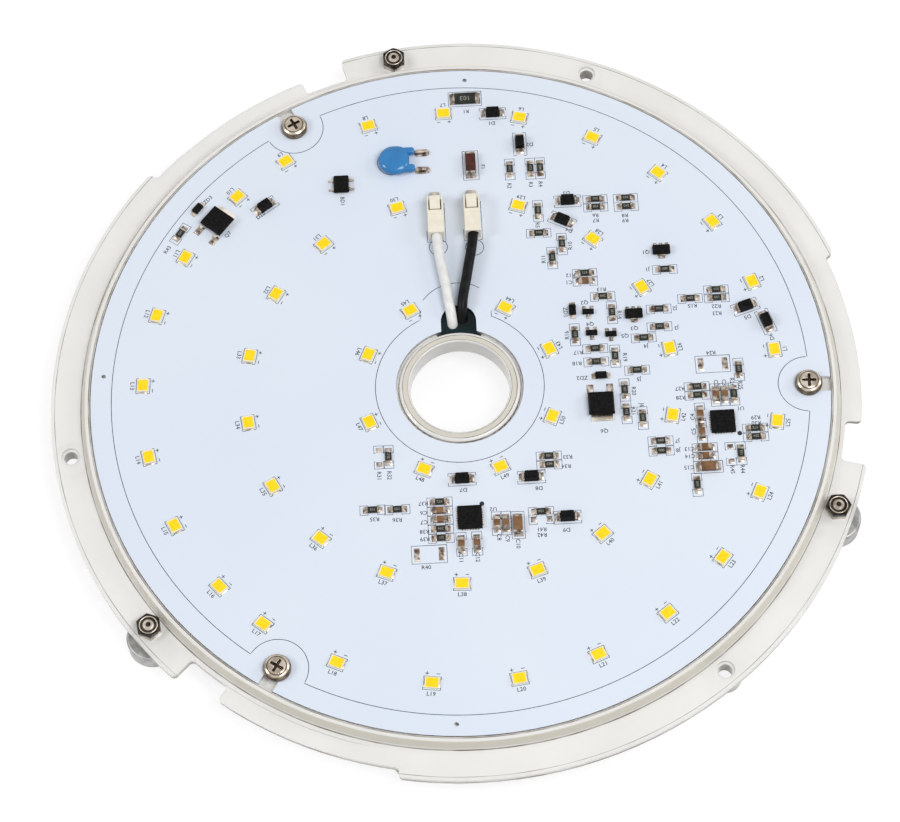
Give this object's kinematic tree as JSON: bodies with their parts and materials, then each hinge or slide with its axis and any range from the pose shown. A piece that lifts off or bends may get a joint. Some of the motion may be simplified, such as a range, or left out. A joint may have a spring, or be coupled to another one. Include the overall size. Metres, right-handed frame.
{
  "type": "led light engine",
  "caption": "Round flat LED light engine: a populated driver-on-board disc in a clear bayonet carrier with a centre bore, magnets and two supply leads.",
  "frame": {"origin": "on the axis of the centre bore, at the underside of the carrier's plate", "axes": "+Z along the bore towards the LEDs, +Y towards the terminal blocks, +X to their right"},
  "size_m": [0.2021, 0.2056, 0.0168],
  "materials": {
    "clear_plastic": "clear moulded polycarbonate, glossy",
    "board_coating": "white reflective coating with dark grey print, satin",
    "white_sleeve": "white wire insulation, satin",
    "black_sleeve": "black wire insulation, satin",
    "tinned_copper": "tinned copper wire",
    "black_rubber": "black rubber, matte",
    "nickel_plate": "nickel plate, warm",
    "dark_nickel": "dark nickel plate",
    "magnet_steel": "zinc plated steel, matte",
    "magnet_alloy": "nickel plated magnet",
    "led_body": "cream white, satin",
    "led_phosphor": "yellow phosphor in clear resin",
    "resistor_glaze": "dark glaze, semi-gloss",
    "capacitor_ceramic": "brown ceramic, satin",
    "fuse_ceramic": "dark maroon ceramic, matte",
    "solder": "solder, semi-gloss",
    "package_black": "black moulding compound, matte",
    "lead_tin": "tin plate, satin",
    "varistor_blue": "blue dipped coating, glossy",
    "block_cream": "cream moulded plastic, satin"
  },
  "bodies": {
    "root": {"carrier": "clear_plastic", "circuit_board": "board_coating", "white_lead": "white_sleeve", "white_lead_wire": "tinned_copper", "black_lead": "black_sleeve", "black_lead_wire": "tinned_copper", "lead_bushing": "black_rubber", "board_screws": "nickel_plate", "magnet_cup_1": "magnet_steel", "magnet_cup_2": "magnet_steel", "magnet_cup_3": "magnet_steel", "magnet_ring_1": "magnet_alloy", "magnet_ring_2": "magnet_alloy", "magnet_ring_3": "magnet_alloy", "magnet_bolts": "dark_nickel", "hex_nuts": "dark_nickel", "led_housings_outer": "led_body", "led_phosphors_outer": "led_phosphor", "led_housings_middle": "led_body", "led_phosphors_middle": "led_phosphor", "led_housings_inner": "led_body", "led_phosphors_inner": "led_phosphor", "chip_resistors": "resistor_glaze", "zero_ohm_links": "resistor_glaze", "chip_capacitors": "capacitor_ceramic", "large_capacitors": "capacitor_ceramic", "power_resistor": "resistor_glaze", "surface_fuse": "fuse_ceramic", "chip_ends": "solder", "diodes": "package_black", "diode_leads": "lead_tin", "small_diodes": "package_black", "small_diode_leads": "lead_tin", "bridge_rectifier": "package_black", "bridge_leads": "lead_tin", "switch_mosfet": "package_black", "switch_mosfet_leads": "lead_tin", "input_mosfet": "package_black", "input_mosfet_leads": "lead_tin", "transistors": "package_black", "transistor_leads": "lead_tin", "small_transistors": "package_black", "small_transistor_leads": "lead_tin", "main_driver_chip": "package_black", "main_driver_chip_pads": "lead_tin", "second_driver_chip": "package_black", "second_driver_chip_pads": "lead_tin", "varistor": "varistor_blue", "varistor_leads": "solder", "neutral_terminal_block": "block_cream", "neutral_contact": "lead_tin", "live_terminal_block": "block_cream", "live_contact": "lead_tin"}
  },
  "joints": []
}
